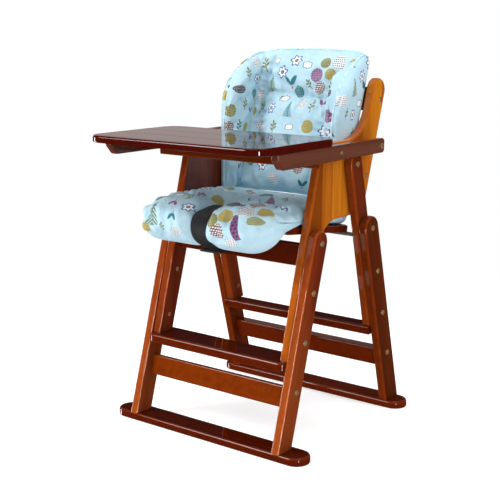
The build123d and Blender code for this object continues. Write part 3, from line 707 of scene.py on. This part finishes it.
BACK_SEAMS = (
    ((-102, 930), (-112, 880), (-125, 825), (-115, 725), (-128, 645)),
    ((126, 885), (112, 845), (97, 800), (88, 757), (90, 650)),
    ((-125, 833), (-40, 828), (30, 822), (108, 818)),
)


def back_surface(z):
    """Where the back of the pad lies at a height."""
    return BACK_Y + BACK_LEAN * (z - BACK_Z)


def back_column(part, t, z):
    """Middle of the pad and its inward normal, for one column at height z."""
    rear = back_surface(z) - PAD_HALF
    if part == "flat":
        return (t, rear), (0.0, -1.0)
    side = math.copysign(1.0, t)
    if part == "corner":
        turn = abs(t) * math.pi / 2
        x = BACK_FLAT + (WING_X - BACK_FLAT) * math.sin(turn)
        y = rear - CORNER * (1 - math.cos(turn))
        return (side * x, y), (-side * math.sin(turn), -math.cos(turn))
    y = (rear - CORNER) + (WING_FRONT - (rear - CORNER)) * abs(t)
    return (side * WING_X, y), (-side, 0.0)


def back_top(part, t):
    """Height of the pad's upper edge at one column."""
    if part == "flat":
        return TOP_FLAT - TOP_FLAT_SAG * (t / BACK_FLAT) ** 2
    if part == "corner":
        return TOP_CORNER - TOP_CORNER_SAG * abs(t)
    return np.interp(abs(t), *zip(*WING_TOP))


def back_pad():
    """Closed pad: a grid of columns round the child and rows up the chair, on both sides."""
    wing = [("wing", t) for t in np.linspace(1, 0, 17)[:-1]]
    corner = [("corner", t) for t in np.linspace(1, 0, 8)[:-1]]
    flat = [("flat", x) for x in np.linspace(-BACK_FLAT, BACK_FLAT, 43)]
    left = [(part, -t) for part, t in wing + corner]
    right = [(part, t) for part, t in reversed(wing + corner)]
    columns = left + flat + right
    front, rear, sheet = [], [], []
    for part, t in columns:
        turned = {"flat": 0.0, "corner": abs(t), "wing": 1.0}[part]
        share = abs(t) if part == "wing" else 0.0
        top = back_top(part, t)
        span = BACK_FLAT + CORNER_CLOTH * turned + WING_CLOTH * share
        across = t if part == "flat" else math.copysign(span, t)
        roll = BACK_ROLL + (1.0 - BACK_ROLL) * turned
        for k in range(BACK_ROWS):
            z = PAD_LOW + (top - PAD_LOW) * k / (BACK_ROWS - 1)
            spot, normal = back_column(part, t, z)
            edge = min(top - z, z - PAD_LOW)
            if part == "wing":
                edge = min(edge, (1 - share) * (back_surface(z) - PAD_HALF - CORNER - WING_FRONT))
            full = round_edge(edge, 34.0 - 6.0 * roll)
            behind = PAD_HALF * (roll * full + 1.0 - roll)
            inner = PAD_HALF * (roll * full + (1.0 - roll) * (2.0 * full - 1.0))
            inner -= SEAM_SINK * seam_depth(across, z) * min(1.0, edge / 20)
            if part == "wing":
                puff = math.sin(math.pi * min(1.0, share * 1.1)) * min(1.0, edge / 25)
                inner += WING_PUFF * puff
                behind += WING_PUFF_OUTSIDE * puff * smooth_step(z, 800, 850)
            # the face rolls down a little towards the edge
            drop = 6.0 * (1.0 - full) - 0.30 * (inner + PAD_HALF) * (1 if part == "flat" else 0.3)
            front.append((spot[0] + normal[0] * inner, spot[1] + normal[1] * inner, z - max(0.0, drop)))
            rear.append((spot[0] - normal[0] * behind, spot[1] - normal[1] * behind, z))
            sheet.append((across, z))
    return front, rear, sheet, len(columns), BACK_ROWS


def seam_depth(across, z):
    """How deeply the pad is drawn in at a place on the cloth, from 0 to 1."""
    return max(math.exp(-(line_distance(across, z, seam)[0] / 8.0) ** 2) for seam in BACK_SEAMS)


def closed_grid(columns, rows):
    """Faces of two grids that share their border points.

    Also the border in order, and the inner points of the first grid and of the second.
    """
    grid = [(c, r) for c in range(columns) for r in range(rows)]
    inner = [(c, r) for c, r in grid if 0 < c < columns - 1 and 0 < r < rows - 1]
    first = {place: count for count, place in enumerate(grid)}
    second = first | {place: len(grid) + count for count, place in enumerate(inner)}
    faces = []
    for c in range(columns - 1):
        for r in range(rows - 1):
            ring = [(c, r), (c + 1, r), (c + 1, r + 1), (c, r + 1)]
            faces.append([first[place] for place in ring])
            faces.append([second[place] for place in reversed(ring)])
    border = [(c, 0) for c in range(columns)] + [(columns - 1, r) for r in range(1, rows)]
    border += [(c, rows - 1) for c in range(columns - 2, -1, -1)] + [(0, r) for r in range(rows - 2, 0, -1)]
    return faces, [first[p] for p in border], [first[p] for p in inner], [second[p] for p in inner]


# across and up the cloth, size, turn, kind and colour of each printed shape
BACK_MOTIFS = (
    (-128, 905, 17, 20, "sprig", OLIVE), (-150, 868, 11, 0, "leaves", TEAL),
    (-88, 915, 13, 0, "cloud", NAVY), (-60, 885, 14, 15, "flower", BLUE), (-96, 858, 19, 8, "tree", GREEN),
    (-140, 826, 13, 0, "dotted", NAVY), (-168, 800, 12, 30, "sprig", MUSTARD),
    (-150, 780, 10, 0, "disc", MUSTARD), (-120, 792, 14, -20, "sprig", OLIVE),
    (-26, 918, 15, 0, "flower", BLUE), (12, 906, 15, 0, "cloud", NAVY), (-30, 862, 20, 10, "leaves", TEAL),
    (-6, 838, 13, 0, "disc", TEAL), (28, 856, 12, 40, "sprig", GREEN), (-48, 818, 15, 0, "cloud", NAVY),
    (46, 880, 15, 0, "disc", MAUVE), (66, 912, 12, 0, "disc", OLIVE), (84, 884, 12, 0, "disc", MUSTARD),
    (60, 850, 13, 0, "lattice", BRICK), (104, 914, 16, 0, "dotted", NAVY),
    (128, 890, 12, 0, "dotted", MAUVE), (92, 856, 14, -15, "sprig", OLIVE),
    (122, 858, 14, 10, "tree", TEAL), (152, 900, 12, 0, "sprig", GREEN), (-78, 790, 13, 0, "flower", BLUE),
    (-22, 790, 18, 0, "tree", TEAL), (14, 806, 12, 0, "dotted", NAVY), (44, 800, 15, 0, "sprig", OLIVE),
    (72, 812, 12, 0, "leaves", MAUVE), (98, 796, 15, 0, "cloud", NAVY), (148, 856, 13, 0, "oval", NAVY),
    (142, 826, 13, 20, "disc", MUSTARD), (170, 872, 12, 0, "lattice", BRICK),
    (176, 832, 12, -30, "sprig", OLIVE), (128, 806, 13, 0, "oval", NAVY),
    (160, 800, 13, 0, "dotted", BRICK), (-190, 866, 12, 10, "flower", BLUE),
    (-196, 826, 12, 0, "disc", TEAL), (-208, 785, 12, 0, "leaves", MAUVE), (204, 800, 12, 0, "disc", OLIVE),
    (210, 840, 11, 0, "flower", BLUE), (-240, 800, 13, 0, "sprig", OLIVE),
    (240, 790, 12, 0, "lattice", BRICK), (-110, 745, 13, 0, "dotted", NAVY),
    (-60, 740, 14, 0, "sprig", OLIVE), (-10, 744, 13, 0, "cloud", NAVY), (45, 748, 14, 0, "disc", MUSTARD),
    (90, 742, 13, 0, "flower", BLUE), (-100, 700, 15, 0, "cloud", NAVY), (-50, 690, 14, 30, "leaves", TEAL),
    (0, 696, 13, 0, "disc", MAUVE), (50, 690, 15, 0, "oval", NAVY), (98, 695, 13, 0, "sprig", OLIVE),
    (-120, 655, 13, 0, "disc", OLIVE), (-70, 645, 14, 0, "flower", BLUE), (-15, 650, 14, 0, "tree", GREEN),
    (40, 645, 13, 0, "lattice", BRICK), (92, 650, 14, 0, "cloud", NAVY), (-30, 612, 13, 0, "dotted", NAVY),
    (60, 608, 13, 0, "leaves", TEAL), (-170, 740, 13, 0, "tree", GREEN),
    (-180, 690, 12, 0, "dotted", BRICK), (-170, 640, 13, 0, "sprig", OLIVE),
    (-225, 740, 12, 0, "disc", MUSTARD), (-230, 690, 12, 0, "cloud", NAVY),
    (-225, 640, 12, 0, "leaves", MAUVE), (165, 745, 13, 0, "sprig", OLIVE), (160, 700, 13, 0, "oval", NAVY),
    (155, 655, 13, 0, "flower", BLUE), (292, 786, 14, 0, "disc", MAUVE), (262, 838, 15, 0, "oval", NAVY),
    (228, 876, 14, 0, "cloud", NAVY), (-292, 786, 14, 0, "disc", OLIVE), (-262, 838, 15, 0, "oval", NAVY),
    (-228, 876, 14, 0, "sprig", OLIVE), (268, 786, 14, 20, "sprig", GREEN),
    (190, 912, 13, 0, "disc", MUSTARD), (-190, 912, 13, 0, "dotted", NAVY),
    (298, 742, 14, 0, "flower", BLUE), (262, 744, 14, 0, "cloud", NAVY), (-262, 744, 14, 0, "sprig", TEAL),
    (-298, 742, 14, 0, "lattice", BRICK), (220, 745, 12, 0, "dotted", NAVY),
    (225, 695, 12, 0, "disc", TEAL), (222, 645, 13, 0, "cloud", NAVY),
)


def build_back_cushion(material):
    front, rear, sheet, columns, rows = back_pad()
    faces, border, inner, inner_rear = closed_grid(columns, rows)
    points = front + [rear[i] for i in inner]
    place = [(*spot, 1.0) for spot in sheet] + [(*sheet[i], 0.0) for i in inner]
    for i in border:
        place[i] = (*sheet[i], 0.6)
    piece = make_piece("liner_back", points, faces, place, material)
    sewn = [i for i in inner if seam_depth(*sheet[i]) > 0.55]
    inflate(piece, border + inner_rear + sewn, 3.2, 0.011)
    edge = [piece.data.vertices[i].co.copy() for i in border]
    subdivide(piece)
    x, z, shown = sheet_of(piece.data).T
    half_hem = ((180, 936), (230, 880), (FOLD, 762))
    hem = ((-FOLD, 600), *((-a, b) for a, b in reversed(half_hem)), (0, 944), *half_hem)
    wrinkle = puckers(x, z, BACK_SEAMS, 22.0, 2.8) + ripples(x, z, 3.2, 5)
    wrinkle += puckers(x, z, (hem,), 14.0, 1.0)
    push(piece, wrinkle * smooth_step(shown, 0.55, 0.95))
    keep_between_panels(piece, 790.0)
    middle = [motif for motif in BACK_MOTIFS if abs(motif[0]) < 150]
    repeats = tuple((m[0] + way, *m[1:]) for m in middle for way in (-PRINT_REPEAT, PRINT_REPEAT))
    print_motifs(piece, BACK_MOTIFS + repeats, 1.18, FOLD)
    return piece, edge


def piping(name, points, radius, material):
    """Corded edge: a thin tube sewn along a pad's border."""
    curve = bpy.data.curves.new(name, "CURVE")
    curve.dimensions = "3D"
    curve.bevel_depth = radius * MM
    curve.bevel_resolution = 2
    line = curve.splines.new("NURBS")
    line.points.add(len(points) - 1)
    for item, point in zip(line.points, points):
        item.co = (*point, 1.0)
    line.use_cyclic_u = True
    line.order_u = 3
    curve.materials.append(material)
    piece = bpy.data.objects.new(name, curve)
    bpy.context.collection.objects.link(piece)
    return piece


# ---- seat pad with two front lobes and a strap groove
SEAT_OUTLINE = (
    (160, 511), (169, 532), (162, 555), (120, 569), (40, 581), (-40, 587), (-110, 588), (-165, 584),
    (-203, 567), (-217, 541), (-209, 511), (-180, 487), (-145, 476), (-129, 483), (-124, 510), (-121, 541),
    (-100, 545), (-30, 536), (60, 525), (130, 516),
)
LOBE_Y, LOBE_Z = -137.0, 548.0          # the front lobes grow from here
MIDDLE_Y, MIDDLE_Z = -20.0, 552.0       # the rounded ends draw in towards here
LOBE_FROM, LOBE_FULL = 88, 122          # the front lobes begin and are complete this far forward
TAPER_FROM, TAPER_TO = 98, 190          # across the right lobe
GROOVE_HALF = 33.0
GROOVE_FROM, GROOVE_FULL = 40, 96
GROOVE_FRONT, GROOVE_TOP, GROOVE_UNDER = 0.42, 0.78, 0.06   # share of the lobe that the groove takes
END_REACH, END_LEFT = 24.0, 0.30        # the pad's thickness falls to this share over its last millimetres
SEAT_SEAMS = (
    ((-180, -28), (-60, -22), (-42, -6), (14, -6), (34, -22), (180, -28)),
    ((-14, -14), (-14, -150)),
)


def round_outline(points, steps):
    """Closed Catmull-Rom curve through the points, at even steps along it."""
    p = np.array(points, float)
    fine = []
    for i in range(len(p)):
        a, b, c, d = p[i - 1], p[i], p[(i + 1) % len(p)], p[(i + 2) % len(p)]
        for t in np.linspace(0, 1, 12, endpoint=False):
            fine.append(0.5 * (2 * b + (c - a) * t + (2 * a - 5 * b + 4 * c - d) * t ** 2
                               + (3 * b - a - 3 * c + d) * t ** 3))
    fine = np.array(fine + fine[:1])
    run = np.concatenate([[0], np.cumsum(np.hypot(*np.diff(fine, axis=0).T))])
    even = np.linspace(0, run[-1], steps, endpoint=False)
    return np.stack([np.interp(even, run, fine[:, i]) for i in (0, 1)], axis=1), even


def seat_pad():
    """Rings of points round the pad, one for each slice from side to side."""
    outline, run = round_outline(SEAT_OUTLINE, 108)
    start = run[np.argmin(np.abs(outline[:, 0] + 110) + (outline[:, 1] < 560) * 999)]
    slices = np.concatenate([[-SIDE], np.linspace(-SIDE + 3, SIDE - 3, 57), [SIDE]])
    points, sheet = [], []
    for x in slices:
        taper = (1 - np.clip((x - TAPER_FROM) / (TAPER_TO - TAPER_FROM), 0, 1) ** 2) ** 0.6
        reach = taper * (0.90 + 0.10 * round_edge(x + SIDE, 30.0))
        groove = math.exp(-(abs(x - STRAP_X) / GROOVE_HALF) ** 4)
        end = END_LEFT + (1 - END_LEFT) * round_edge(SIDE - abs(x), END_REACH)
        for (flat_y, flat_z), place in zip(outline, run - start):
            y, z = flat_y, flat_z
            ahead = smooth_step(-flat_y, LOBE_FROM, LOBE_FULL)
            above = flat_z > LOBE_Z
            if flat_y < LOBE_Y and (above or ahead > 0):
                y = LOBE_Y + (flat_y - LOBE_Y) * reach * (1 - GROOVE_FRONT * groove)
            if above:
                sink = GROOVE_TOP * groove * smooth_step(-flat_y, GROOVE_FROM, GROOVE_FULL)
                z = LOBE_Z + (flat_z - LOBE_Z) * (0.35 + 0.65 * reach) * (1 - sink)
            elif ahead > 0:
                z = LOBE_Z + (flat_z - LOBE_Z) * reach * (1 - GROOVE_UNDER * groove)
            if above or ahead < 0.5:
                z = MIDDLE_Z + (z - MIDDLE_Z) * end
            if ahead <= 0.5:
                y = MIDDLE_Y + (y - MIDDLE_Y) * (0.9 + 0.1 * end)
            points.append((x, y, z))
            shown = 1.0 if flat_z > 500 and (ahead == 1 or flat_z >= LOBE_Z) else 0.7
            sheet.append((x, place, shown))
    return points, sheet, len(slices), len(outline)


SEAT_MOTIFS = (
    (-150, 108, 30, 176, "tree", GREEN), (-108, 70, 14, 0, "leaves", MAUVE),
    (-164, 52, 13, 0, "disc", TEAL), (-86, 112, 15, 0, "leaves", TEAL), (-60, 76, 15, 0, "flower", BLUE),
    (-126, 26, 16, 0, "cloud", NAVY), (-116, 146, 12, 180, "sprig", OLIVE),
    (-72, 150, 12, 0, "dotted", NAVY), (-84, 30, 14, 20, "sprig", OLIVE), (24, 70, 13, 0, "leaves", MAUVE),
    (34, 108, 16, 0, "disc", OLIVE), (66, 90, 17, 0, "disc", MUSTARD), (58, 134, 18, 0, "lattice", BRICK),
    (104, 116, 30, 160, "stalk", MAUVE), (110, 66, 19, 0, "dotted", NAVY), (146, 96, 18, 0, "oval", OLIVE),
    (152, 52, 17, 0, "disc", MUSTARD), (64, 42, 25, 8, "oval", NAVY), (112, 22, 18, 0, "lattice", BRICK),
    (22, 22, 15, 0, "disc", MAUVE), (92, 158, 14, 0, "dotted", NAVY), (-150, -20, 14, 0, "sprig", OLIVE),
    (-100, -26, 15, 0, "oval", MAUVE), (-52, -34, 14, 0, "disc", MUSTARD), (4, -36, 15, 0, "cloud", NAVY),
    (58, -30, 17, 90, "tree", TEAL), (104, -32, 14, 0, "disc", MAUVE), (152, -18, 15, 0, "flower", BLUE),
    (-130, -84, 14, 0, "flower", BLUE), (-70, -92, 16, 0, "cloud", NAVY), (0, -92, 15, 0, "leaves", TEAL),
    (60, -88, 18, 0, "oval", NAVY), (120, -82, 15, 0, "sprig", OLIVE), (-100, -142, 14, 0, "disc", OLIVE),
    (-30, -148, 16, 0, "lattice", BRICK), (50, -144, 14, 0, "dotted", NAVY),
    (110, -144, 15, 0, "cloud", NAVY), (-168, 150, 12, 0, "disc", MUSTARD),
)


def build_seat_cushion(material):
    points, sheet, slices, ring = seat_pad()
    faces = []
    for c in range(slices - 1):
        for r in range(ring):
            after = (r + 1) % ring
            faces.append([c * ring + r, (c + 1) * ring + r, (c + 1) * ring + after, c * ring + after])
    faces.append(list(range(ring)))
    faces.append([(slices - 1) * ring + r for r in range(ring)])
    piece = make_piece("liner_seat", points, faces, sheet, material)
    sewn = [
        i for i, (x, v, shown) in enumerate(sheet)
        if shown < 0.8 or abs(x) > SIDE - 8 or abs(x - STRAP_X) < STRAP_HALF + 2 and points[i][1] < -85
        or min(line_distance(x, v, seam)[0] for seam in SEAT_SEAMS) < 3.4
    ]
    inflate(piece, sewn, 3.2, 0.010)
    subdivide(piece)
    x, v, shown = sheet_of(piece.data).T
    # few wrinkles under the strap
    calm = 1 - 0.8 * np.exp(-(np.abs(x - STRAP_X) / 30.0) ** 4) * (v > 0)
    valley = np.zeros(len(x))
    for seam in SEAT_SEAMS:
        valley = np.maximum(valley, np.exp(-(line_distance(x, v, seam)[0] / 6.0) ** 2))
    wrinkle = puckers(x, v, SEAT_SEAMS, 26.0, 4.2) + ripples(x, v, 4.6, 23) - 6.5 * valley
    push(piece, wrinkle * smooth_step(shown, 0.72, 0.98) * calm)
    keep_between_panels(piece, 700.0)
    print_motifs(piece, SEAT_MOTIFS, 1.12)
    return piece


# ---- strap
ROLL_Y, ROLL_Z = -138.0, 518.0          # axis of the pad's front roll
RAY_START = 0.2                         # metres from that axis, well outside the pad
STRAP_CLEAR, STRAP_THICK = 1.2, 1.5


def strap_path(cushion):
    """The webbing's line from the side: out of the slit, over the front roll and down to the buckle."""
    angles = np.radians(np.linspace(132, -72, 70))
    reach = []
    for angle in angles:
        ray = Vector((0, -math.cos(angle), math.sin(angle)))
        outer = 0.0
        for x in np.linspace(STRAP_X - STRAP_HALF, STRAP_X + STRAP_HALF, 7):
            origin = Vector((x * MM, ROLL_Y * MM, ROLL_Z * MM)) + ray * RAY_START
            hit, spot, _, _ = cushion.ray_cast(origin, -ray)
            if hit:
                outer = max(outer, RAY_START - (origin - spot).length)
        reach.append(outer / MM + STRAP_CLEAR)
    reach = np.array(reach)
    widest = np.array([reach[max(0, i - 3):i + 4].max() for i in range(len(reach))])
    smooth = np.convolve(np.pad(widest, 4, mode="edge"), np.ones(9) / 9, mode="valid")
    smooth = np.maximum(smooth, reach)
    buckle = NODES_BOX["strap_buckle"]
    low = buckle[1][2] / MM + 0.4
    path = [(ROLL_Y - r * math.cos(a), max(ROLL_Z + r * math.sin(a), low)) for r, a in zip(smooth, angles)]
    start_y, start_z = path[0]
    hidden = [(start_y + 3, start_z - 34), (start_y + 2.5, start_z - 10)]
    return np.array(hidden + path + [(buckle[0][1] / MM + 12, low)])


def build_strap(cushion, material):
    path = strap_path(cushion)
    across = np.linspace(-STRAP_HALF, STRAP_HALF, 13)
    tangent = np.gradient(path, axis=0)
    tangent /= np.linalg.norm(tangent, axis=1, keepdims=True)
    points, faces = [], []
    for side in (STRAP_THICK, 0.0):
        for (y, z), (ty, tz) in zip(path, tangent):
            for x in across:
                crown = side - 0.6 * (x / STRAP_HALF) ** 4
                points.append((STRAP_X + x, y + tz * crown, z - ty * crown))
    wide, long = len(across), len(path)
    under = wide * long
    for layer in (0, 1):
        for k in range(long - 1):
            for i in range(wide - 1):
                a = layer * under + k * wide + i
                quad = [a, a + 1, a + wide + 1, a + wide]
                faces.append(quad if layer else quad[::-1])
    rim = [k * wide for k in range(long)] + [(long - 1) * wide + i for i in range(1, wide)]
    rim += [k * wide + wide - 1 for k in range(long - 2, -1, -1)] + list(range(wide - 2, 0, -1))
    for a, b in zip(rim, rim[1:] + rim[:1]):
        faces.append([a, b, b + under, a + under])
    piece = make_piece("strap_webbing", points, faces, [(0, 0, 0)] * len(points), material)
    subdivide(piece)
    return piece


liner = printed_fabric("liner_print")
cord_cloth = plastic("liner_piping", (0.40, 0.60, 0.70), 0.55)
back_piece, back_edge = build_back_cushion(liner)
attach(back_piece, "frame")
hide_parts("back_cushion")
back_piping = piping("liner_back_piping", back_edge, 2.2, cord_cloth)
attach(back_piping, "frame")

seat_piece = build_seat_cushion(liner)
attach(seat_piece, "seat")
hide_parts("seat_cushion")

strap_piece = build_strap(seat_piece, webbing("strap_weave"))
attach(strap_piece, "seat")
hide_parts("crotch_strap")
